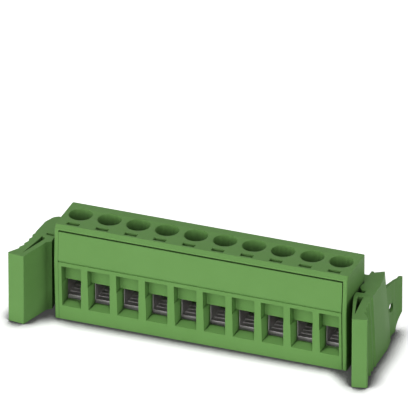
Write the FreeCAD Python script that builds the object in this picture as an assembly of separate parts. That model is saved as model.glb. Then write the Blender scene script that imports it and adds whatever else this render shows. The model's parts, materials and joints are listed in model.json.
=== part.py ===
import FreeCAD, Part
import math
import os

Vector = FreeCAD.Vector

# Pluggable terminal block: a plug for a pin header, with screw-clamped wire entries in front,
# ten sockets in the nose behind, and a squeeze lever at each end.
# Millimetres. +X runs along the row, +Y towards the nose, +Z up.
# The origin is on the base, midway along the row, straight below the screw axes.

# The row of positions
pitch = 5.08
position_count = 10

# The screw block, seen from the side
block_height = 17.4
front_to_screw = 5.3
screw_to_back = 3.6
fold_z = 10.8
top_setback = 0.35
bottom_setback = 0.4
lip_chamfer = 0.55
lip_thickness = 0.8
lip_groove = 0.3
top_wall = 2.5
floor_thickness = 2.4
rear_wall = 0.9
end_wall = 0.72
edge_round = 0.25

# The front cover, which closes the chambers and guides the wires
cover_gap = 0.15
cover_panel = 1.0
cover_depth = 2.75
cover_seat_gap = 0.05
cover_end_rib = 0.45
fold_groove_depth = 0.2
fold_groove_height = 0.3
pocket_width = 3.94
pocket_bottom = 2.45
pocket_top = 10.1
pocket_depth = 2.0
end_pocket_narrowing = 0.5
wire_width = 2.6
wire_bottom = 3.25
wire_top = 6.85
foot_rib_height = 0.6
foot_rib_reach = 0.6
foot_rib_z = 0.9
foot_rib_end = 1.0

# The latch tongues of the cover, and the slots in the top that they snap into
slot_width = 2.2
slot_depth = 0.9
tongue_gap = 0.1
tongue_length = 3.9
tongue_root_slope = 0.8
tongue_web = 0.4
tongue_tip_chamfer = 0.25
tongue_below_top = 0.9
barb_height = 0.2
barb_length = 0.9
barb_flat = 0.2
barb_pocket = 0.3

# The chambers and the screw holes
chamber_width = 4.4
screw_hole_radius = 2.015

# The screws: the head is wider than its hole, so that it stays in
screw_radius = 1.5
head_radius = 2.1
head_height = 1.7
head_gap = 0.2
head_slot_cut_width = 0.8
head_slot_cut_depth = 0.9
foot_gap = 0.05
slot_turn_degrees = 37.0

# The clamping sleeves: a threaded top, two sides and a floor that lifts the wire
sleeve_side_gap = 0.1
sleeve_floor_gap = 0.1
sleeve_wall = 0.5
sleeve_floor = 0.85
sleeve_roof = 1.6
roof_gap = 0.1
sleeve_half_depth = 2.3
thread_clearance = 0.05
bite_groove_depth = 0.15
bite_groove_pitch = 1.1
bite_groove_count = 3

# The contacts: a bar above the wire, a stem and a sprung fork in the nose
bar_bottom_z = 6.45
bar_thickness = 0.8
bar_side_gap = 0.1
bar_front_gap = 0.1
bar_front_bevel = 0.3
stem_thickness = 0.7
fork_thickness = 0.45
fork_reach = 6.6
fork_pinch_gap = 0.8
fork_mouth_gap = 1.9
fork_pinch_back = 1.3
fork_tip_length = 0.2
fork_tip_thickness = 0.35

# The nose, which goes into the header
nose_length = 8.9
nose_bottom = 1.7
nose_height = 7.6
nose_inset = 1.05
lead_in_length = 1.4
lead_in_inset = 0.5
channel_width = 2.2
channel_bottom = 3.7
channel_gap = 0.05
channel_end_wall = 1.1
socket_mouth = 1.7
socket_chamfer = 0.35
key_groove_width = 1.6
key_groove_depth = 0.8
key_groove_length = 6.0
guide_rib_width = 1.0
guide_rib_height = 0.6

# The hinge of each lever: a rail on the end wall, in a socket of the lever
pivot_out = 1.5
pivot_behind_front = 6.5
rail_radius = 0.75
rail_neck = 0.6
rail_bottom = 1.2
rail_top = 11.2
rail_clearance = 0.05
rail_top_gap = 0.2
socket_wall = 0.55
socket_mouth_margin_degrees = 5.0
socket_front_degrees = 45.0
flank_clearance_degrees = 2.0

# The levers. Places are given as (out from the end wall, back from the front face), closed.
lever_height = 12.8
lever_floor_gap = 0.1
open_limit_degrees = 12.0
left_rest_degrees = 8.5
right_rest_degrees = 0.0
tip_inner = (2.3, -4.45)
tip_outer = (5.1, -4.05)
leaf_knee = (0.25, 0.95)
leaf_stop = 0.1
leaf_end = 4.3
notch_out = 1.9
notch_step = 0.35
notch_width = 0.9
leaf_flat = 1.3
slit_point = (2.2, -2.65)
slit_end = 3.2
slit_inner = 0.85
slit_outer = 1.75
slit_end_taper = 0.1
slit_end_length = 0.9
grip_out = 3.75
grip_start = -1.5
rib_pitch = 1.53
rib_count = 4
rib_height = 0.3
rib_base = 0.95
rib_crest = 0.33
bulge_out = 4.0
bulge_back = 7.8
rear_round_back = 9.9
rear_round_out = 3.5
rear_outer = (2.1, 11.3)
rear_inner = (0.2, 10.4)
wrap_start = (0.3, 9.9)
flank_back = 9.2
tip_corner_round = 0.3

# The latch arm behind each lever
arm_thickness = 0.9
arm_root = 10.6
arm_waist_before_end = 3.6
arm_waist_out = 1.6
arm_end_out = 2.7
arm_top_z = 8.9
arm_chamfer_length = 2.6
arm_chamfer_height = 2.0
arm_hole_radius = 0.65
arm_hole_back = 12.5
arm_hole_z = 5.8
hook_height = 0.6
hook_length = 0.9
hook_slope = 0.2

# How far a cutting tool runs past the face it opens, and how deep fused forms sink into each other
past = 1.0
sink = 0.1

# Values that follow from the ones above
half_row = position_count * pitch / 2
front_y = -front_to_screw
back_y = screw_to_back
cover_half = half_row - pitch / 2 + pocket_width / 2 - end_pocket_narrowing + cover_end_rib
end_x = cover_half + cover_gap + end_wall
lip_under_z = block_height - lip_thickness
cover_top_z = lip_under_z - lip_groove
panel_back_y = front_y + top_setback + cover_panel
cover_back_y = front_y + cover_depth
chamber_top_z = block_height - top_wall
chamber_back_y = back_y - rear_wall
slot_front_y = panel_back_y
tongue_tip_z = block_height - tongue_below_top
nose_end_y = back_y + nose_length
nose_half = end_x - nose_inset
nose_top_z = nose_bottom + nose_height
bar_top_z = bar_bottom_z + bar_thickness
channel_top_z = bar_top_z + channel_gap
channel_end_y = nose_end_y - channel_end_wall
socket_z = (channel_bottom + channel_top_z) / 2
arm_end_back = nose_end_y - front_y
arm_waist_back = arm_end_back - arm_waist_before_end
sleeve_width = chamber_width - 2 * sleeve_side_gap
sleeve_window = sleeve_width - 2 * sleeve_wall
sleeve_bottom_z = floor_thickness + sleeve_floor_gap
sleeve_roof_z = bar_top_z + roof_gap
head_top_z = chamber_top_z - head_gap
pivot_x = end_x + pivot_out
pivot_y = front_y + pivot_behind_front
position_x = [(i - (position_count - 1) / 2) * pitch for i in range(position_count)]


def box(x0, x1, y0, y1, z0, z1):
    """A block between two opposite corners."""
    return Part.makeBox(x1 - x0, y1 - y0, z1 - z0, Vector(x0, y0, z0))


def rod(radius, x, y, z0, z1):
    """An upright cylinder."""
    return Part.makeCylinder(radius, z1 - z0, Vector(x, y, z0), Vector(0, 0, 1))


def side_prism(points, x0, x1):
    """An outline of (y, z) points, carried along the row from x0 to x1."""
    corners = [Vector(x0, y, z) for y, z in points]
    face = Part.Face(Part.makePolygon(corners + [corners[0]]))
    return face.extrude(Vector(x1 - x0, 0, 0))


def plan_prism(points, z0, z1):
    """An outline of (x, y) points, carried upwards from z0 to z1."""
    corners = [Vector(x, y, z0) for x, y in points]
    face = Part.Face(Part.makePolygon(corners + [corners[0]]))
    return face.extrude(Vector(0, 0, z1 - z0))


def rectangle(x0, x1, z0, z1, y):
    """A closed upright rectangle, square to the row's depth."""
    corners = [Vector(x0, y, z0), Vector(x1, y, z0), Vector(x1, y, z1), Vector(x0, y, z1)]
    return Part.makePolygon(corners + [corners[0]])


def funnel(wide, narrow):
    """A solid that tapers from one rectangle to another."""
    return Part.makeLoft([wide, narrow], True, True)


def front_profile_y(z):
    """The front face's place at a height: most forward at the fold, leaning back above and below."""
    if z >= fold_z:
        return front_y + top_setback * (z - fold_z) / (cover_top_z - fold_z)
    return front_y + bottom_setback * (fold_z - z) / fold_z


def pocket_edges(i):
    """The left and right sides of a wire pocket; the outermost two are narrower at the ends."""
    left = max(position_x[i] - pocket_width / 2, -cover_half + cover_end_rib)
    right = min(position_x[i] + pocket_width / 2, cover_half - cover_end_rib)
    return left, right


def block_body():
    """The screw block's outer form, with its leaning front, chamfered lip and rounded end corners."""
    lip_y = front_profile_y(block_height)
    chamfer_z = block_height - lip_chamfer
    outline = [
        (front_profile_y(0), 0),
        (front_y, fold_z),
        (front_profile_y(chamfer_z), chamfer_z),
        (lip_y + lip_chamfer, block_height),
        (back_y, block_height),
        (back_y, 0),
    ]
    body = side_prism(outline, -end_x, end_x)
    rounded = []
    for edge in body.Edges:
        middle = edge.BoundBox.Center
        is_upright = edge.BoundBox.ZLength > edge_round
        is_across = edge.BoundBox.XLength > edge_round
        if is_upright and not is_across and abs(middle.x) > end_x - edge_round:
            rounded.append(edge)
    return body.makeFillet(edge_round, rounded)


def nose_body():
    """The nose behind the block, tapered at its end, with guide ribs below."""
    root_y = back_y - rear_wall
    taper_y = nose_end_y - lead_in_length
    end_half = nose_half - lead_in_inset
    outline = [
        (-nose_half, root_y),
        (-nose_half, taper_y),
        (-end_half, nose_end_y),
        (end_half, nose_end_y),
        (nose_half, taper_y),
        (nose_half, root_y),
    ]
    nose = plan_prism(outline, nose_bottom, nose_top_z)
    half = guide_rib_width / 2
    for i in range(position_count - 1):
        x = position_x[i] + pitch / 2
        nose = nose.fuse(box(x - half, x + half, root_y, taper_y, nose_bottom - guide_rib_height, nose_bottom + sink))
    return nose


def hinge_rail(side):
    """The upright rail on an end wall that a lever turns on."""
    x = side * pivot_x
    wall_x = side * (end_x - sink)
    half = rail_neck / 2
    rail = rod(rail_radius, x, pivot_y, rail_bottom, rail_top)
    neck = box(min(wall_x, x), max(wall_x, x), pivot_y - half, pivot_y + half, rail_bottom, rail_top)
    return rail.fuse(neck)


def cover_recess():
    """The space in the block's front that the cover fills."""
    reach = cover_half + cover_gap
    outline = [
        (front_y - past, -past),
        (front_y - past, lip_under_z),
        (panel_back_y, lip_under_z),
        (panel_back_y, fold_z),
        (cover_back_y, fold_z),
        (cover_back_y, -past),
    ]
    return side_prism(outline, -reach, reach)


def chamber_cuts(i):
    """One position's chamber, screw hole, tongue slot and contact channel."""
    x = position_x[i]
    half = chamber_width / 2
    head_z = chamber_top_z - head_height
    slot_half = slot_width / 2
    slot_back_y = slot_front_y + slot_depth
    ledge_z = tongue_tip_z - barb_height
    channel_half = channel_width / 2
    above = block_height + past
    return [
        box(x - half, x + half, panel_back_y, chamber_back_y, fold_z, chamber_top_z),
        box(x - half, x + half, cover_back_y, chamber_back_y, floor_thickness, fold_z),
        rod(screw_hole_radius, x, 0, head_z, above),
        box(x - slot_half, x + slot_half, slot_front_y, slot_back_y, head_z, above),
        box(x - slot_half, x + slot_half, slot_front_y, slot_back_y + barb_pocket, head_z, ledge_z),
        box(x - channel_half, x + channel_half, chamber_back_y - past, channel_end_y, channel_bottom, channel_top_z),
    ]


def socket_cuts(i):
    """One position's pin socket in the nose's end, and the key groove above it."""
    x = position_x[i]
    half = socket_mouth / 2
    wide = half + socket_chamfer
    key_half = key_groove_width / 2
    beyond = nose_end_y + past
    mouth = box(x - half, x + half, channel_end_y - sink, beyond, socket_z - half, socket_z + half)
    lead = funnel(
        rectangle(x - wide, x + wide, socket_z - wide, socket_z + wide, nose_end_y),
        rectangle(x - half, x + half, socket_z - half, socket_z + half, nose_end_y - socket_chamfer),
    )
    groove_z = nose_top_z - key_groove_depth
    groove = box(x - key_half, x + key_half, nose_end_y - key_groove_length, beyond, groove_z, nose_top_z + past)
    return [mouth, lead, groove]


def make_housing():
    """The green housing: screw block, nose and the two hinge rails, in one moulding."""
    solid = block_body().fuse([nose_body(), hinge_rail(-1), hinge_rail(1)])
    reach = cover_half - foot_rib_end
    rib_groove = box(
        -reach, reach, cover_back_y - sink, cover_back_y + foot_rib_reach + tongue_gap,
        foot_rib_z - tongue_gap, foot_rib_z + foot_rib_height + tongue_gap,
    )
    cuts = [cover_recess(), rib_groove]
    for i in range(position_count):
        cuts += chamber_cuts(i) + socket_cuts(i)
    return solid.cut(cuts).removeSplitter()


def tongue(i):
    """A latch tongue on the back of the cover's panel, with a barb near its tip."""
    x = position_x[i]
    half = slot_width / 2 - tongue_gap
    root_z = tongue_tip_z - tongue_length
    web_z = cover_top_z - tongue_web
    root = panel_back_y - cover_panel / 2
    front = panel_back_y + cover_seat_gap
    back = panel_back_y + slot_depth - tongue_gap
    barb_z = tongue_tip_z - barb_height - tongue_gap
    outline = [
        (root, root_z),
        (panel_back_y, root_z),
        (back, root_z + tongue_root_slope),
        (back, barb_z - barb_length),
        (back + barb_height, barb_z - barb_flat),
        (back + barb_height, barb_z),
        (back, barb_z),
        (back, tongue_tip_z - tongue_tip_chamfer),
        (back - tongue_tip_chamfer, tongue_tip_z),
        (front, tongue_tip_z),
        (front, web_z),
        (root, web_z),
    ]
    return side_prism(outline, x - half, x + half)


def make_front_cover():
    """The cover: a leaning panel above the fold and a comb of ten wire funnels below it."""
    seat_back = cover_back_y - cover_seat_gap
    panel_back = panel_back_y - cover_seat_gap
    groove_y = front_y + fold_groove_depth
    groove_top_z = fold_z + fold_groove_height
    outline = [
        (front_profile_y(0), 0),
        (front_y, fold_z),
        (groove_y, fold_z),
        (groove_y, fold_z + fold_groove_height / 2),
        (front_profile_y(groove_top_z), groove_top_z),
        (front_profile_y(cover_top_z), cover_top_z),
        (panel_back, cover_top_z),
        (panel_back, fold_z - cover_seat_gap),
        (seat_back, fold_z - cover_seat_gap),
        (seat_back, 0),
    ]
    cover = side_prism(outline, -cover_half, cover_half)
    rib_half = cover_half - foot_rib_end - tongue_gap
    rib = box(
        -rib_half, rib_half, seat_back - sink, cover_back_y + foot_rib_reach,
        foot_rib_z, foot_rib_z + foot_rib_height,
    )
    cover = cover.fuse([rib] + [tongue(i) for i in range(position_count)])
    cuts = []
    for i in range(position_count):
        cuts += wire_way(i)
    return cover.cut(cuts).removeSplitter()


def wire_way(i):
    """One wire pocket: a recess with a flat floor, a funnel below its middle and the throat behind."""
    left, right = pocket_edges(i)
    wire_left = position_x[i] - wire_width / 2
    wire_right = position_x[i] + wire_width / 2
    floor_y = front_y + pocket_depth
    return [
        box(left, right, front_y - past, floor_y, wire_top, pocket_top),
        box(left, right, front_y - past, front_y, pocket_bottom, pocket_top),
        funnel(
            rectangle(left, right, pocket_bottom, wire_top, front_y),
            rectangle(wire_left, wire_right, wire_bottom, wire_top, floor_y),
        ),
        box(wire_left, wire_right, floor_y - sink, cover_back_y + past, wire_bottom, wire_top),
    ]


def make_screw(i):
    """A slotted clamping screw; its foot bears on the contact's bar."""
    x = position_x[i]
    foot_z = bar_top_z + foot_gap
    head_z = head_top_z - head_height
    outline = [
        (0, foot_z),
        (screw_radius, foot_z),
        (screw_radius, head_z),
        (head_radius, head_z),
        (head_radius, head_top_z),
        (0, head_top_z),
    ]
    corners = [Vector(x + r, 0, z) for r, z in outline]
    face = Part.Face(Part.makePolygon(corners + [corners[0]]))
    screw = face.revolve(Vector(x, 0, 0), Vector(0, 0, 1), 360)
    half = head_slot_cut_width / 2
    reach = head_radius + past
    slot = box(x - reach, x + reach, -half, half, head_top_z - head_slot_cut_depth, head_top_z + past)
    slot.rotate(Vector(x, 0, 0), Vector(0, 0, 1), slot_turn_degrees * i)
    return screw.cut(slot)


def make_sleeve(i):
    """A clamping sleeve, at the bottom of its travel: an open frame with a threaded roof."""
    x = position_x[i]
    half = sleeve_width / 2
    window = sleeve_window / 2
    top_z = sleeve_roof_z + sleeve_roof
    floor_z = sleeve_bottom_z + sleeve_floor
    reach = sleeve_half_depth + past
    sleeve = box(x - half, x + half, -sleeve_half_depth, sleeve_half_depth, sleeve_bottom_z, top_z)
    cuts = [
        box(x - window, x + window, -reach, reach, floor_z, sleeve_roof_z),
        rod(screw_radius + thread_clearance, x, 0, sleeve_roof_z - sink, top_z + past),
    ]
    for k in range(bite_groove_count):
        y = (k - (bite_groove_count - 1) / 2) * bite_groove_pitch
        groove = [(y - bite_groove_depth, floor_z), (y, floor_z - bite_groove_depth), (y + bite_groove_depth, floor_z)]
        cuts.append(side_prism(groove, x - window, x + window))
    return sleeve.cut(cuts)


def make_contact(i):
    """A contact: the bar in the clamp, a stem in the rear wall and a two-leaf fork for the pin."""
    x = position_x[i]
    half = sleeve_window / 2 - bar_side_gap
    front = -sleeve_half_depth + bar_front_gap
    stem_y = back_y + stem_thickness
    fork_end = stem_y + fork_reach
    pinch_y = fork_end - fork_pinch_back
    pinch = fork_pinch_gap / 2
    mouth = fork_mouth_gap / 2
    tip_y = fork_end - fork_tip_length
    tip = mouth - fork_tip_thickness
    outline = [
        (front, bar_bottom_z + bar_front_bevel),
        (front + bar_front_bevel, bar_bottom_z),
        (back_y, bar_bottom_z),
        (back_y, channel_bottom),
        (stem_y, channel_bottom),
        (pinch_y, socket_z - pinch - fork_thickness),
        (fork_end, socket_z - mouth),
        (tip_y, socket_z - tip),
        (pinch_y, socket_z - pinch),
        (stem_y, channel_bottom + fork_thickness),
        (stem_y, bar_top_z - fork_thickness),
        (pinch_y, socket_z + pinch),
        (tip_y, socket_z + tip),
        (fork_end, socket_z + mouth),
        (pinch_y, socket_z + pinch + fork_thickness),
        (stem_y, bar_top_z),
        (front, bar_top_z),
    ]
    bar = side_prism(outline, x - half, x + half)
    narrow = channel_width / 2 - bar_side_gap
    wide_end = chamber_back_y - bar_side_gap
    wide_part = box(x - half, x + half, front - past, wide_end, 0, block_height)
    tail_part = box(x - narrow, x + narrow, front - past, nose_end_y, 0, block_height)
    return bar.common(wide_part.fuse(tail_part)).removeSplitter()


def lever_outline():
    """The lever's grip in plan, closed: an edge loop of (out, back) points, arcs by three points."""
    socket_outer = rail_radius + rail_clearance + socket_wall
    open_room = open_limit_degrees + flank_clearance_degrees
    start = 180 + socket_front_degrees
    finish = 180 - open_room
    arc = []
    for degrees in (start, (start + finish) / 2, finish):
        angle = math.radians(degrees)
        arc.append((pivot_out + socket_outer * math.cos(angle), pivot_behind_front + socket_outer * math.sin(angle)))
    flank_out = arc[2][0] + (flank_back - arc[2][1]) * math.tan(math.radians(open_room))
    notch_back = leaf_end + notch_width
    front = [
        tip_inner,
        leaf_knee,
        (leaf_stop, leaf_end - leaf_flat),
        (leaf_stop, leaf_end),
        (notch_out, leaf_end),
        (notch_out, notch_back),
        (arc[0][0] + notch_step, notch_back),
        arc[0],
    ]
    edges = line_chain(front)
    edges.append(three_point_arc(*arc))
    edges += line_chain([arc[2], (flank_out, flank_back), wrap_start, rear_inner, rear_outer])
    bulge_end = (bulge_out, bulge_back)
    edges.append(three_point_arc(rear_outer, (rear_round_out, rear_round_back), bulge_end))
    ribs = [bulge_end, (grip_out, grip_start + rib_count * rib_pitch)]
    for k in reversed(range(rib_count)):
        back = grip_start + k * rib_pitch
        ribs += [(grip_out, back + rib_base), (grip_out + rib_height, back + rib_crest), (grip_out, back)]
    edges += line_chain(ribs + [tip_outer, tip_inner])
    return edges


def place(point, z=0.0):
    """A (out, back) place of the closed right-hand lever, as a point in the part's frame."""
    return Vector(end_x + point[0], front_y + point[1], z)


def line_chain(points):
    """Straight edges through a list of (out, back) places."""
    edges = []
    for a, b in zip(points, points[1:]):
        edges.append(Part.LineSegment(place(a), place(b)).toShape())
    return edges


def three_point_arc(a, b, c):
    """A round edge from a to c through b."""
    return Part.Arc(place(a), place(b), place(c)).toShape()


def upright(edges, z0, z1):
    """A closed plan outline, carried up from z0 to z1."""
    face = Part.Face(Part.Wire(edges))
    face.translate(Vector(0, 0, z0))
    return face.extrude(Vector(0, 0, z1 - z0))


def latch_arm():
    """The springy arm behind the grip: bent in plan, cut off at its lower corner, hooked at its end."""
    outs = (rear_outer[0], arm_waist_out, arm_end_out)
    backs = (arm_root, arm_waist_back, arm_end_back)
    outer = list(zip(outs, backs))
    inner = [(out - arm_thickness, back) for out, back in outer]
    edges = [three_point_arc(*inner)]
    edges += line_chain([inner[2], outer[2]])
    edges.append(three_point_arc(outer[2], outer[1], outer[0]))
    edges += line_chain([outer[0], inner[0]])
    arm = upright(edges, lever_floor_gap, arm_top_z)
    face_out = inner[2][0]
    hook = [
        (face_out + sink, arm_end_back - hook_length - hook_slope),
        (face_out - hook_height, arm_end_back - hook_length + hook_slope),
        (face_out - hook_height, arm_end_back - hook_slope),
        (face_out + sink, arm_end_back),
    ]
    arm = arm.fuse(upright(line_chain(hook + [hook[0]]), lever_floor_gap, arm_top_z))
    end_y = front_y + arm_end_back
    corner = [
        (end_y - arm_chamfer_length, lever_floor_gap),
        (end_y, lever_floor_gap + arm_chamfer_height),
        (end_y + past, lever_floor_gap + arm_chamfer_height),
        (end_y + past, lever_floor_gap - past),
        (end_y - arm_chamfer_length, lever_floor_gap - past),
    ]
    across = (end_x - past, end_x + bulge_out + past)
    hole = Part.makeCylinder(
        arm_hole_radius, across[1] - across[0], Vector(across[0], front_y + arm_hole_back, arm_hole_z),
        Vector(1, 0, 0),
    )
    return arm.cut([side_prism(corner, *across), hole])


def rail_socket():
    """The space in the lever for the rail, with a mouth that clears the rail's neck at every angle."""
    radius = rail_radius + rail_clearance
    bottom_z = lever_floor_gap - past
    top_z = rail_top + rail_top_gap
    half_neck = math.degrees(math.asin(rail_neck / 2 / radius))
    reach = radius + socket_wall + past
    first = 180 - half_neck - socket_mouth_margin_degrees - open_limit_degrees
    last = 180 + half_neck + socket_mouth_margin_degrees
    mouth = [(pivot_x, pivot_y)]
    for degrees in (first, (first + last) / 2, last):
        angle = math.radians(degrees)
        mouth.append((pivot_x + reach * math.cos(angle), pivot_y + reach * math.sin(angle)))
    return rod(radius, pivot_x, pivot_y, bottom_z, top_z).fuse(plan_prism(mouth, bottom_z, top_z))


def make_closed_lever():
    """The right-hand lever in its closed place: grip, sprung leaf, rail socket and latch arm."""
    grip = upright(lever_outline(), lever_floor_gap, lever_height)
    slit = [
        slit_point,
        (slit_inner, slit_end - slit_end_length),
        (slit_inner - slit_end_taper, slit_end),
        (slit_outer, slit_end),
        (slit_outer - slit_end_taper, slit_end - slit_end_length),
        slit_point,
    ]
    grip = grip.cut(upright(line_chain(slit), -past, lever_height + past))
    corners = []
    for edge in grip.Edges:
        centre = edge.BoundBox.Center
        if edge.BoundBox.ZLength > lever_height / 2:
            for corner in (tip_inner, tip_outer):
                if centre.distanceToPoint(place(corner, centre.z)) < edge_round:
                    corners.append(edge)
    grip = grip.makeFillet(tip_corner_round, corners)
    return grip.fuse(latch_arm()).cut(rail_socket()).removeSplitter()


def make_lever(side, rest_angle):
    """A lever turned open by its rest angle about its rail, on the right (1) or left (-1)."""
    lever = make_closed_lever()
    lever.rotate(Vector(pivot_x, pivot_y, 0), Vector(0, 0, 1), rest_angle)
    if side < 0:
        lever = lever.mirror(Vector(0, 0, 0), Vector(1, 0, 0))
    return lever


def save(shape, name):
    """Writes one sub-part, after making sure that it is a single closed solid."""
    if len(shape.Solids) != 1 or not shape.isValid():
        raise ValueError(name + " has " + str(len(shape.Solids)) + " solids, valid: " + str(shape.isValid()))
    shape.Solids[0].exportStep("parts/" + name + ".step")


os.makedirs("parts", exist_ok=True)
save(make_housing(), "housing")
save(make_front_cover(), "front_cover")
save(make_lever(-1, left_rest_degrees), "lever_left")
save(make_lever(1, right_rest_degrees), "lever_right")
for number in range(position_count):
    save(make_screw(number), "clamp_screw_" + str(number + 1))
    save(make_sleeve(number), "clamp_sleeve_" + str(number + 1))
    save(make_contact(number), "contact_" + str(number + 1))
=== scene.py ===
import json
import math

import bmesh
import bpy
import numpy as np
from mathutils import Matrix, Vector


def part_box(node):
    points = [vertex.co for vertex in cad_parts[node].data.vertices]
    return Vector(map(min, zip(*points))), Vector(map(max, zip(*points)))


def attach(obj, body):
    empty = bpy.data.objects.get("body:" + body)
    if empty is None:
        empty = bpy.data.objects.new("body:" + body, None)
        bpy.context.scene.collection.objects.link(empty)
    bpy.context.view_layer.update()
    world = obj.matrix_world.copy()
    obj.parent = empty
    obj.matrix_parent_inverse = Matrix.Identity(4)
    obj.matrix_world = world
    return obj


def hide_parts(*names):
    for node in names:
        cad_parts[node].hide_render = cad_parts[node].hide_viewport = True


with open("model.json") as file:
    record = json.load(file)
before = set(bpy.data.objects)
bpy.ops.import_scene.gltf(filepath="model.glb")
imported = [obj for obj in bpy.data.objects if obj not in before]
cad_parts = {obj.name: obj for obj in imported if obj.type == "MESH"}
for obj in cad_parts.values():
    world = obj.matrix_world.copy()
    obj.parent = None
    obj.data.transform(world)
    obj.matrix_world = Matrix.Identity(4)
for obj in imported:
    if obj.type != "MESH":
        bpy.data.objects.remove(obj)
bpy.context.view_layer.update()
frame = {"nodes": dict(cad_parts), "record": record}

# A plug for a pin header: a green housing with ten screw clamps, a front cover with ten wire
# funnels, and a squeeze lever at each end. Metres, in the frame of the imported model.
MM = 0.001
POSITIONS = range(1, 11)

# Edges: how far the mould or the press rounds them, and what counts as an edge
EDGE_ROUND = 0.09 * MM
METAL_ROUND = 0.05 * MM
EDGE_SEGMENTS = 2
EDGE_ANGLE = math.radians(33)
FLAT_FACE_WEIGHT = 100
MERGE_DISTANCE = 0.0005 * MM

# Screws: metric thread of 3 mm by 0.5 mm under a slotted head
SHANK_RADIUS = 1.5 * MM
THREAD_LEAD = 0.5 * MM
THREAD_DEPTH = 0.27 * MM
THREAD_ROWS_PER_TURN = 8
THREAD_COLUMNS = 32
FOOT_CHAMFER = 0.3 * MM
HEAD_HEIGHT = 1.7 * MM
SHANK_IN_HEAD = HEAD_HEIGHT / 4

# Levers, in mm and degrees: the end wall, the front face, the hinge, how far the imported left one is
# open, and how far the outer side leans out at its foot
END_X = 25.65
FRONT_Y = -5.3
HINGE_PLACE = np.array([1.5, 6.5])
LEFT_PACKED_OPEN = 8.5
LEVER_HEIGHT = 12.8
FOOT_SPREAD = 0.75
# The outer side of a closed packed lever: back from the front, the places out where none and all of
# the lean applies, and the lean's share there
FOOT_SPREAD_ROWS = np.array([
    [-4.0, 2.4, 3.6, 0.0],
    [0.0, 2.4, 3.6, 0.8],
    [8.0, 2.4, 3.6, 1.0],
    [11.3, 1.2, 2.0, 1.5],
    [15.2, 1.2, 1.6, 0.3],
    [16.5, 1.2, 1.6, 0.0],
])

# Places of the levers in plan, in mm out from the end wall and back from the front face. Each row
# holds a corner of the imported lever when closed, then where the photograph shows it on the right
# lever and on the left one. KEEP leaves it where it is packed.
KEEP = math.nan
LEVER_PLACES = np.array([
    # tip
    [2.30, -4.45, 2.60, -4.50, 3.90, -3.65],
    [5.10, -4.05, 5.25, -3.87, 7.00, -3.25],
    # leaf, inner side
    [0.25, 0.95, 0.52, 1.80, 2.22, 2.12],
    [0.10, 3.00, 0.20, 3.10, 1.42, 2.82],
    [0.10, 4.30, 0.15, 4.30, 1.60, 4.60],
    # notch behind the leaf
    [1.90, 4.30, 1.50, 4.40, 3.20, 4.75],
    [1.90, 5.20, 1.55, 5.25, 3.25, 5.35],
    # slit between leaf and grip
    [2.20, -2.65, 2.50, -3.00, 4.55, -2.50],
    [0.85, 2.30, 1.05, 2.20, 2.98, 2.80],
    [0.75, 3.20, 0.95, 3.00, 2.82, 3.70],
    [1.75, 3.20, 1.85, 3.20, 3.60, 3.95],
    [1.65, 2.30, 1.92, 2.30, 3.70, 3.00],
    # ribs, each with its foot, crest and foot
    [3.75, -1.50, 3.67, -1.55, 5.60, -1.05],
    [4.05, -1.17, 3.92, -1.20, 5.82, -0.72],
    [3.75, -0.55, 3.60, -0.60, 5.45, -0.10],
    [3.75, 0.03, 3.37, -0.10, 5.25, 0.38],
    [4.05, 0.36, 3.64, 0.25, 5.50, 0.72],
    [3.75, 0.98, 3.34, 0.90, 5.20, 1.35],
    [3.75, 1.56, 3.20, 1.45, 5.03, 2.00],
    [4.05, 1.89, 3.47, 1.80, 5.30, 2.34],
    [3.75, 2.51, 3.20, 2.45, 5.05, 2.95],
    [3.75, 3.09, 3.15, 3.05, 5.00, 3.55],
    [4.05, 3.42, 3.42, 3.40, 5.28, 3.88],
    [3.75, 4.04, 3.17, 4.00, 5.05, 4.50],
    # outer side behind the ribs
    [3.75, 4.62, 3.22, 4.70, 5.12, 5.20],
    [4.00, 7.80, 3.10, 7.80, 4.95, 8.20],
    [3.50, 9.90, 2.82, 9.90, 4.50, 9.95],
    # rear
    [2.10, 11.30, 2.20, 12.50, 3.40, 11.30],
    [0.20, 10.40, 0.42, 11.40, 0.50, 10.80],
    [0.30, 9.90, 0.40, 10.30, KEEP, KEEP],
    # arm, at its root
    [1.89, 11.20, 2.05, 12.42, 2.95, 11.35],
    [1.17, 10.86, 1.60, 12.15, 2.10, 11.15],
    # arm, round its hole
    [1.745, 11.85, 2.20, 13.45, 2.20, 12.00],
    [0.845, 11.85, 1.82, 13.90, 1.35, 11.90],
    [1.581, 13.15, 2.54, 15.00, 1.55, 13.20],
    [0.681, 13.15, 2.21, 15.45, 0.70, 13.10],
    # arm, at its waist
    [1.60, 14.20, 2.65, 15.50, 1.15, 14.20],
    [0.70, 14.20, 2.28, 15.80, 0.30, 14.05],
    # arm, at its cut corner
    [1.745, 15.20, 2.73, 15.80, 0.95, 15.15],
    [0.845, 15.20, 2.34, 16.00, 0.10, 15.05],
    # arm, at its end, and the hook
    [2.70, 17.80, 3.42, 17.80, KEEP, KEEP],
    [1.80, 17.80, 2.97, 17.80, KEEP, KEEP],
    [1.20, 17.35, 2.72, 17.35, KEEP, KEEP],
])
# Heights of the lever's corners in mm: packed, and as the photograph shows them
ARM_HEIGHTS = np.array([
    [0.1, 0.1],
    [2.1, 2.8],
    [5.15, 4.35],
    [6.45, 5.95],
    [8.9, 9.4],
    [11.4, 11.4],
    [12.8, 12.8],
])
# Places round the rail that stay where they are packed: distance from its axis in mm, degrees
SOCKET_RINGS = [(0.8, np.arange(0, 360, 60)), (1.35, np.array([165, 195, 225]))]
TINY = 1e-12

# Front cover, in mm: its wire throats as packed and as the photograph shows them
PITCH = 5.08
THROAT_HALF = 1.3
THROAT_HALF_SEEN = 1.6
THROAT_BOTTOM = 3.25
THROAT_BOTTOM_SEEN = 2.8
THROAT_TOP = 6.85
THROAT_FRONT_Y = -3.3
THROAT_REACH = 24.2
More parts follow.
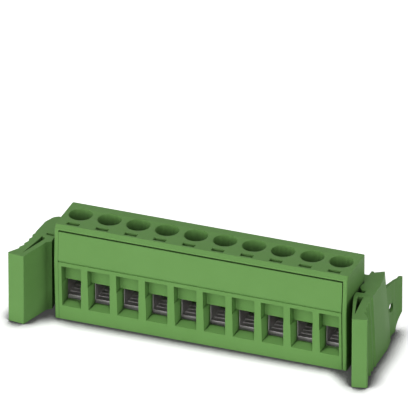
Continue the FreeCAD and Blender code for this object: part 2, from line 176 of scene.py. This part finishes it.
# its left side, which comes nearer the end wall, and its tongues, which end lower in the slots
COVER_HALF = 24.78
COVER_SIDE_BAND = 0.2
COVER_LEFT_FILL = 0.11
TONGUE_FRONT_Y = -4.0
TONGUE_TOP = 15.9
TONGUE_DROP = 2.0
NEAR = 0.05

# Part of a noise's range that a finish uses
NOISE_LOW = 0.3
NOISE_HIGH = 0.7

# Green polyamide: its flow marks, and the mould's grain, drawn coarser than the real one of a few
# hundredths of a millimetre so that it shows, with the roughness of its low and high spots
FLOW_MARK = 6 * MM
GRAIN = 0.12 * MM
GRAIN_HEIGHT = 0.012 * MM
GRAIN_STRENGTH = 0.18
GRAIN_ROUGHNESS = (0.48, 0.64)
POLYAMIDE_IOR = 1.5
# Low, because the photograph's sides show next to nothing of the white floor
POLYAMIDE_SPECULAR = 0.16

# Painted shade, darkening the colour in deep holes and slots: how far it looks, how open a place is
# where it starts and where it is full, and the share of the colour left there
PAINTED_SHADE_REACH = 4.0 * MM
PAINTED_SHADE_STARTS = 0.56
PAINTED_SHADE_FULL = 0.1
PAINTED_SHADE_LEFT = 0.22
NEAR_SAMPLES = 8

# Plated metal: tool streaks, drawn coarser than real ones so that they show
STREAK = 0.25 * MM
STREAK_HEIGHT = 0.01 * MM
STREAK_STRENGTH = 0.15

# Camera, fitted to the photograph's edges and screw holes
CAMERA_AZIMUTH = math.radians(20.57)
CAMERA_ELEVATION = math.radians(28.54)
CAMERA_DISTANCE = 1706.2 * MM
CAMERA_AIM = Vector((0, 0, 7.0)) * MM
CAMERA_RIGHT = -1.097 * MM
CAMERA_UP = 14.709 * MM
CAMERA_CLIP = (0.05, 20)
FOCAL_PIXELS = 10359.9
FRAME_PIXELS = 408
SENSOR = 36.0

# Floor: white to the camera, with painted shadow where the object closes it off
FLOOR_HALF = 3.0
FLOOR_PAINT = (0.86, 0.86, 0.87, 1.0)
FLOOR_GLOW = 0.8
SHADOW_REACH = 4.4 * MM
SHADOW_FULL = 0.62
SHADOW_ENDS = 0.94
SHADOW_LEFT = 0.05

# Light: an even sky, and large soft lamps by azimuth and elevation in degrees and power in watts
SKY_STRENGTH = 0.12
LAMPS = [
    ("front", 0, 12, 5.2),
    ("left", -35, 25, 6.6),
    ("right", 30, 18, 5.3),
    ("back", 180, 65, 2.2),
]
LAMP_DISTANCE = 1.2
LAMP_SIZE = 1.4


def linear(hex_colour):
    """An sRGB hex colour as linear red, green and blue, with an alpha of 1."""
    parts = [int(hex_colour[i:i + 2], 16) / 255 for i in (1, 3, 5)]
    return [c / 12.92 if c <= 0.04045 else ((c + 0.055) / 1.055) ** 2.4 for c in parts] + [1.0]


def add_node(tree, kind, settings=None, **links):
    """Adds a node. Settings are its properties. Links are its inputs, by name or as i and a number,
    each a value or another node's socket."""
    node = tree.nodes.new(kind)
    for key, value in (settings or {}).items():
        setattr(node, key, value)
    for key, value in links.items():
        numbered = key[0] == "i" and key[1:].isdigit()
        socket = node.inputs[int(key[1:]) if numbered else key.replace("_", " ")]
        if isinstance(value, bpy.types.NodeSocket):
            tree.links.new(value, socket)
        else:
            socket.default_value = value
    return node


def new_material(name):
    """An empty material with its shader and output, and the object's own coordinates."""
    material = bpy.data.materials.new(name)
    material.use_nodes = True
    tree = material.node_tree
    tree.nodes.clear()
    shader = tree.nodes.new("ShaderNodeBsdfPrincipled")
    output = tree.nodes.new("ShaderNodeOutputMaterial")
    tree.links.new(shader.outputs[0], output.inputs["Surface"])
    place = tree.nodes.new("ShaderNodeTexCoord").outputs["Object"]
    return material, tree, shader, place


def blend_colours(tree, amount, low, high):
    """A colour between two sRGB hex colours."""
    mix = add_node(
        tree, "ShaderNodeMix", {"data_type": "RGBA"}, i0=amount, i6=linear(low), i7=linear(high),
    )
    return mix.outputs[2]


def rough_and_bumpy(tree, shader, noise, roughness, strength, height):
    """Ties a shader's roughness and its bump to the same noise."""
    spread = add_node(
        tree, "ShaderNodeMapRange", Value=noise, From_Min=NOISE_LOW, From_Max=NOISE_HIGH,
        To_Min=roughness[0], To_Max=roughness[1],
    )
    tree.links.new(spread.outputs[0], shader.inputs["Roughness"])
    bump = add_node(tree, "ShaderNodeBump", Height=noise, Strength=strength, Distance=height)
    tree.links.new(bump.outputs[0], shader.inputs["Normal"])


def moulded_polyamide(name, low, high):
    """Green polyamide, injection moulded in a spark-eroded mould: satin, with a fine pebbled grain
    and faint cloudy flow marks, and painted shade in its colour where a hole or a slot closes it in."""
    material, tree, shader, place = new_material(name)
    cloud = add_node(
        tree, "ShaderNodeTexNoise", Vector=place, Scale=1 / FLOW_MARK, Detail=3.0, Roughness=0.55,
    )
    colour = blend_colours(tree, cloud.outputs[0], low, high)
    # Painted shade: ambient occlusion darkens the base colour in holes and slots
    near = add_node(
        tree, "ShaderNodeAmbientOcclusion", {"samples": NEAR_SAMPLES}, Distance=PAINTED_SHADE_REACH,
    )
    left = add_node(
        tree, "ShaderNodeMapRange", Value=near.outputs["AO"], From_Min=PAINTED_SHADE_FULL,
        From_Max=PAINTED_SHADE_STARTS, To_Min=PAINTED_SHADE_LEFT,
    )
    painted_shade = add_node(
        tree, "ShaderNodeMix", {"data_type": "RGBA", "blend_type": "MULTIPLY"}, i0=1.0, i6=colour,
        i7=left.outputs[0],
    )
    tree.links.new(painted_shade.outputs[2], shader.inputs["Base Color"])
    pebble = add_node(
        tree, "ShaderNodeTexNoise", Vector=place, Scale=1 / GRAIN, Detail=2.0, Roughness=0.6,
    )
    rough_and_bumpy(
        tree, shader, pebble.outputs[0], GRAIN_ROUGHNESS, GRAIN_STRENGTH, GRAIN_HEIGHT,
    )
    shader.inputs["IOR"].default_value = POLYAMIDE_IOR
    shader.inputs["Specular IOR Level"].default_value = POLYAMIDE_SPECULAR
    return material


def plated_metal(name, low, high, roughness, stretch):
    """Metal with a thin plating: nickel, tin or zinc over punched or turned parts, with fine tool
    streaks under it that stretch its reflections."""
    material, tree, shader, place = new_material(name)
    along = add_node(tree, "ShaderNodeMapping", Vector=place, Scale=stretch)
    streaks = add_node(
        tree, "ShaderNodeTexNoise", Vector=along.outputs[0], Scale=1 / STREAK, Detail=4.0,
        Roughness=0.6,
    )
    colour = blend_colours(tree, streaks.outputs[0], low, high)
    tree.links.new(colour, shader.inputs["Base Color"])
    rough_and_bumpy(
        tree, shader, streaks.outputs[0], roughness, STREAK_STRENGTH, STREAK_HEIGHT,
    )
    shader.inputs["Metallic"].default_value = 1.0
    return material


def show(mesh, name, material):
    """A mesh as an object in the scene, smooth over its round faces."""
    piece = bpy.data.objects.new(name, mesh)
    bpy.context.scene.collection.objects.link(piece)
    mesh.materials.clear()
    mesh.materials.append(material)
    mesh.polygons.foreach_set("use_smooth", np.ones(len(mesh.polygons), dtype=bool))
    return piece


def merged_mesh(node, name):
    """A CAD node's mesh with its loose triangles merged."""
    form = bmesh.new()
    form.from_mesh(frame["nodes"][node].data)
    bmesh.ops.remove_doubles(form, verts=form.verts, dist=MERGE_DISTANCE)
    mesh = bpy.data.meshes.new(name)
    form.to_mesh(mesh)
    form.free()
    return mesh


def round_edges(piece, width):
    """Rounds the piece's edges and keeps its flat faces flat."""
    bevel = piece.modifiers.new("rounded edges", "BEVEL")
    bevel.width = width
    bevel.segments = EDGE_SEGMENTS
    bevel.limit_method = "ANGLE"
    bevel.angle_limit = EDGE_ANGLE
    bevel.use_clamp_overlap = True
    bevel.miter_outer = "MITER_ARC"
    flat = piece.modifiers.new("flat faces", "WEIGHTED_NORMAL")
    flat.mode = "FACE_AREA"
    flat.weight = FLAT_FACE_WEIGHT
    flat.keep_sharp = True


def body_of(node):
    """The body that carries a CAD node."""
    for body, members in frame["record"]["behaviour"]["bodies"].items():
        if node in members:
            return body


def finish_piece(piece, node, width):
    """Rounds a piece's edges and puts it in its CAD node's place, on the node's body."""
    round_edges(piece, width)
    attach(piece, body_of(node))
    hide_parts(node)


def dress(node, material, width, mesh=None):
    """Stands a merged copy, or the mesh that is given, in a CAD node's place."""
    name = node + "_finished"
    piece = show(mesh or merged_mesh(node, name), name, material)
    finish_piece(piece, node, width)


def read_points(mesh):
    """A mesh's vertices, one row each, in mm."""
    points = np.empty(len(mesh.vertices) * 3)
    mesh.vertices.foreach_get("co", points)
    return points.reshape(-1, 3) / MM


def write_points(mesh, x, y, z):
    """Puts vertices, in mm, back into a mesh."""
    mesh.vertices.foreach_set("co", (np.stack([x, y, z], axis=1) * MM).ravel())


def turned(places, degrees):
    """Places in plan, turned about the hinge."""
    c, s = math.cos(math.radians(degrees)), math.sin(math.radians(degrees))
    return HINGE_PLACE + (places - HINGE_PLACE) @ np.array([[c, s], [-s, c]])


def bent_as_a_plate(places, known, wanted):
    """Places in plan, shifted as a thin plate bends: the shift is a plane plus a sum of the squared
    distances to the known places times their logarithms, with weights that bring each known place
    to its wanted one."""
    def bend(a, b):
        square = ((a[:, None] - b[None]) ** 2).sum(axis=2)
        return square * np.log(square + TINY)

    def plane(a):
        return np.hstack([np.ones((len(a), 1)), a])

    count = len(known)
    flat = plane(known)
    system = np.block([[bend(known, known), flat], [flat.T, np.zeros((3, 3))]])
    weights = np.linalg.solve(system, np.vstack([wanted - known, np.zeros((3, 2))]))
    return places + bend(places, known) @ weights[:count] + plane(places) @ weights[count:]


def lever_places(side, opened):
    """Where a lever's corners are packed and where they are wanted, with the places round its rail,
    which stay."""
    known = turned(LEVER_PLACES[:, :2], opened)
    seen = LEVER_PLACES[:, 4:] if side < 0 else LEVER_PLACES[:, 2:4]
    wanted = np.where(np.isnan(seen), known, seen)
    rings = []
    for radius, degrees in SOCKET_RINGS:
        angle = np.radians(degrees)
        rings.append(HINGE_PLACE + radius * np.stack([np.cos(angle), np.sin(angle)], axis=1))
    fixed = turned(np.concatenate(rings), opened)
    return np.concatenate([known, fixed]), np.concatenate([wanted, fixed])


def foot_lean(closed, height):
    """How far a lever's outer side leans out, in mm: in full at the foot and not at all at the top,
    growing evenly over the places out that the rows give."""
    none_out, all_out, share = [
        np.interp(closed[:, 1], FOOT_SPREAD_ROWS[:, 0], column) for column in FOOT_SPREAD_ROWS.T[1:]
    ]
    outer = np.clip((closed[:, 0] - none_out) / (all_out - none_out), 0, 1) * share
    return FOOT_SPREAD * outer * (1 - height / LEVER_HEIGHT)


def lever_mesh(node, side):
    """A lever's merged mesh, its grip, leaf and arm brought to their places in the photograph, while
    the socket round the rail stays where the hinge is."""
    mesh = merged_mesh(node, node + "_measured")
    x, y, z = read_points(mesh).T
    places = np.stack([side * x - END_X, y - FRONT_Y], axis=1)
    opened = LEFT_PACKED_OPEN if side < 0 else 0.0
    closed = turned(places, -opened)
    height = np.interp(z, ARM_HEIGHTS[:, 0], ARM_HEIGHTS[:, 1])
    out, back = bent_as_a_plate(places, *lever_places(side, opened)).T
    out = out + foot_lean(closed, height)
    write_points(mesh, side * (out + END_X), back + FRONT_Y, height)
    return mesh


def cover_mesh():
    """The front cover's merged mesh with its throats widened and lowered, each place keeping its
    share of the way from the throat's middle, its left side nearer the end wall and its tongues
    lower."""
    mesh = merged_mesh("front_cover", "front_cover_measured")
    x, y, z = read_points(mesh).T
    middle = (np.round(x / PITCH - 0.5) + 0.5) * PITCH
    across = np.abs(x - middle) < THROAT_HALF + NEAR
    upright = (z > THROAT_BOTTOM - NEAR) & (z < THROAT_TOP + NEAR)
    throat = (y > THROAT_FRONT_Y - NEAR) & across & upright
    wide = middle + (x - middle) * THROAT_HALF_SEEN / THROAT_HALF
    x = np.where(throat, np.clip(wide, -THROAT_REACH, THROAT_REACH), x)
    z = np.where(throat & (z < THROAT_BOTTOM + NEAR), THROAT_BOTTOM_SEEN, z)
    x = np.where(x < COVER_SIDE_BAND - COVER_HALF, x - COVER_LEFT_FILL, x)
    z = np.where((z > TONGUE_TOP) & (y > TONGUE_FRONT_Y), z - TONGUE_DROP, z)
    write_points(mesh, x, y, z)
    return mesh


def thread_mesh(centre, foot_z, top_z, name):
    """A threaded shank as a grid of turns by angles: the radius falls and rises with height less
    the thread's lead times the turn, as a triangle wave, and draws in to a chamfer at the foot."""
    rows = int((top_z - foot_z) / THREAD_LEAD * THREAD_ROWS_PER_TURN)
    heights = np.linspace(foot_z, top_z, rows)
    turns = np.linspace(0, 1, THREAD_COLUMNS, endpoint=False)
    z, turn = np.meshgrid(heights, turns, indexing="ij")
    phase = np.mod(z / THREAD_LEAD - turn, 1.0)
    radius = SHANK_RADIUS - THREAD_DEPTH * np.abs(2 * phase - 1)
    radius = np.minimum(radius, SHANK_RADIUS - FOOT_CHAMFER + (z - foot_z))
    angle = turn * 2 * np.pi
    x = centre[0] + radius * np.cos(angle)
    y = centre[1] + radius * np.sin(angle)
    points = np.stack([x, y, z], axis=-1).reshape(-1, 3)
    first = np.arange((rows - 1) * THREAD_COLUMNS)
    column = first % THREAD_COLUMNS
    beside = first - column + (column + 1) % THREAD_COLUMNS
    quads = np.stack([first, beside, beside + THREAD_COLUMNS, first + THREAD_COLUMNS], axis=1)
    ring = np.arange(THREAD_COLUMNS)
    ends = [ring[::-1].tolist(), (ring + (rows - 1) * THREAD_COLUMNS).tolist()]
    mesh = bpy.data.meshes.new(name)
    mesh.from_pydata(points.tolist(), [], quads.tolist() + ends)
    return mesh


def head_mesh(node, head_z, name):
    """The slotted head of a CAD screw: its merged mesh without the shank, closed below."""
    mesh = merged_mesh(node, name)
    form = bmesh.new()
    form.from_mesh(mesh)
    low = [v for v in form.verts if v.co.z < head_z - MERGE_DISTANCE]
    bmesh.ops.delete(form, geom=low, context="VERTS")
    open_edges = [e for e in form.edges if len(e.link_faces) == 1]
    bmesh.ops.holes_fill(form, edges=open_edges)
    bmesh.ops.recalc_face_normals(form, faces=form.faces)
    form.to_mesh(mesh)
    form.free()
    return mesh


def make_screw(number, material):
    """A clamping screw: slotted head and threaded shank in one piece."""
    node = "clamp_screw_" + str(number)
    low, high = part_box(node)
    centre = (Vector(low) + Vector(high)) / 2
    head_z = high[2] - HEAD_HEIGHT
    name = node + "_threaded"
    form = bmesh.new()
    form.from_mesh(head_mesh(node, head_z, name + "_head"))
    form.from_mesh(thread_mesh(centre, low[2], head_z + SHANK_IN_HEAD, name + "_shank"))
    mesh = bpy.data.meshes.new(name)
    form.to_mesh(mesh)
    form.free()
    finish_piece(show(mesh, name, material), node, METAL_ROUND)


def seen_directly(tree):
    """One for a ray from the camera, off a shiny face or through a clear one, and nothing for the
    rest."""
    path = add_node(tree, "ShaderNodeLightPath")
    either = path.outputs["Is Camera Ray"]
    for kind in ("Is Glossy Ray", "Is Transmission Ray"):
        larger = add_node(
            tree, "ShaderNodeMath", {"operation": "MAXIMUM"}, i0=either, i1=path.outputs[kind],
        )
        either = larger.outputs[0]
    return either


def make_floor():
    """A plain white floor that keeps the lamps' shadow and adds a painted one: the rays that show it
    meet paint and a glow, both darkened by painted shadow where the object is near, and the rest meet
    plain paint."""
    a = FLOOR_HALF
    mesh = bpy.data.meshes.new("floor")
    mesh.from_pydata([(-a, -a, 0), (a, -a, 0), (a, a, 0), (-a, a, 0)], [], [(0, 1, 2, 3)])
    material = bpy.data.materials.new("white floor")
    material.use_nodes = True
    tree = material.node_tree
    tree.nodes.clear()
    # Painted shadow: ambient occlusion darkens the floor's paint and glow near the object
    near = add_node(
        tree, "ShaderNodeAmbientOcclusion", {"samples": NEAR_SAMPLES}, Distance=SHADOW_REACH,
    )
    shade = add_node(
        tree, "ShaderNodeMapRange", Value=near.outputs["AO"], From_Min=SHADOW_FULL,
        From_Max=SHADOW_ENDS, To_Min=SHADOW_LEFT,
    )
    painted_shadow = add_node(
        tree, "ShaderNodeMix", {"data_type": "RGBA"}, i0=shade.outputs[0], i6=(0, 0, 0, 1),
        i7=(1, 1, 1, 1),
    )
    bounce = add_node(tree, "ShaderNodeBsdfDiffuse", Color=FLOOR_PAINT)
    paint = add_node(tree, "ShaderNodeBsdfDiffuse", Color=painted_shadow.outputs[2])
    glow = add_node(tree, "ShaderNodeEmission", Color=painted_shadow.outputs[2], Strength=FLOOR_GLOW)
    lit = add_node(tree, "ShaderNodeAddShader", i0=paint.outputs[0], i1=glow.outputs[0])
    both = add_node(
        tree, "ShaderNodeMixShader", i0=seen_directly(tree), i1=bounce.outputs[0],
        i2=lit.outputs[0],
    )
    output = add_node(tree, "ShaderNodeOutputMaterial")
    tree.links.new(both.outputs[0], output.inputs["Surface"])
    floor = show(mesh, "floor", material)


def make_world():
    """Even studio light all round, white where the camera or a reflection looks past the floor."""
    world = bpy.data.worlds.new("studio")
    bpy.context.scene.world = world
    world.use_nodes = True
    tree = world.node_tree
    tree.nodes.clear()
    level = add_node(
        tree, "ShaderNodeMapRange", Value=seen_directly(tree), To_Min=SKY_STRENGTH, To_Max=1.0,
    )
    sky = add_node(
        tree, "ShaderNodeBackground", Color=(1.0, 1.0, 1.0, 1.0), Strength=level.outputs[0],
    )
    output = add_node(tree, "ShaderNodeOutputWorld")
    tree.links.new(sky.outputs[0], output.inputs["Surface"])


def towards(azimuth, elevation):
    """The direction from the object to a lamp or the camera."""
    flat = math.cos(elevation)
    return Vector((math.sin(azimuth) * flat, -math.cos(azimuth) * flat, math.sin(elevation)))


def stand(thing, place, back):
    """Stands a lamp or the camera at a place, with its back turned to a direction."""
    thing.location = place
    thing.rotation_mode = "QUATERNION"
    thing.rotation_quaternion = (-back).to_track_quat("-Z", "Y")
    bpy.context.scene.collection.objects.link(thing)


def make_lamp(name, azimuth, elevation, power):
    """A large soft lamp that faces the object, hidden from the camera."""
    data = bpy.data.lights.new(name, "AREA")
    data.shape = "DISK"
    data.size = LAMP_SIZE
    data.energy = power
    lamp = bpy.data.objects.new(name, data)
    lamp.visible_camera = False
    back = towards(math.radians(azimuth), math.radians(elevation))
    stand(lamp, back * LAMP_DISTANCE, back)


def make_camera():
    """The photograph's camera: a long lens from the right front, above the row."""
    back = towards(CAMERA_AZIMUTH, CAMERA_ELEVATION)
    right = Vector((math.cos(CAMERA_AZIMUTH), math.sin(CAMERA_AZIMUTH), 0))
    up = back.cross(right)
    data = bpy.data.cameras.new("camera")
    data.sensor_width = SENSOR
    data.lens = FOCAL_PIXELS / FRAME_PIXELS * SENSOR
    data.clip_start, data.clip_end = CAMERA_CLIP
    camera = bpy.data.objects.new("camera", data)
    place = CAMERA_AIM + right * CAMERA_RIGHT + up * CAMERA_UP + back * CAMERA_DISTANCE
    stand(camera, place, back)
    bpy.context.scene.camera = camera


def dress_all():
    """Every piece of the plug, finished."""
    green = moulded_polyamide("moulded green polyamide", "#6b9a52", "#73a25a")
    lever_green = moulded_polyamide("moulded green polyamide, levers", "#6a9952", "#72a15a")
    # The last numbers stretch the streaks: upright on brass and steel, along the row on copper
    nickel = plated_metal("nickel-plated brass", "#b3afaf", "#cdc9c9", (0.4, 0.58), (1, 1, 0.15))
    tin = plated_metal("tin-plated copper", "#b6b6b4", "#d0d0ce", (0.42, 0.58), (0.3, 1, 1))
    zinc = plated_metal("zinc-plated steel", "#b4b7ba", "#cfd2d5", (0.25, 0.42), (1, 1, 0.3))
    dress("housing", green, EDGE_ROUND)
    dress("front_cover", green, EDGE_ROUND, cover_mesh())
    dress("lever_left", lever_green, EDGE_ROUND, lever_mesh("lever_left", -1))
    dress("lever_right", lever_green, EDGE_ROUND, lever_mesh("lever_right", 1))
    for number in POSITIONS:
        dress("clamp_sleeve_" + str(number), nickel, METAL_ROUND)
        dress("contact_" + str(number), tin, METAL_ROUND)
        make_screw(number, zinc)


dress_all()
make_floor()
make_world()
for lamp in LAMPS:
    make_lamp(*lamp)
make_camera()
bpy.context.scene.view_settings.view_transform = "Standard"
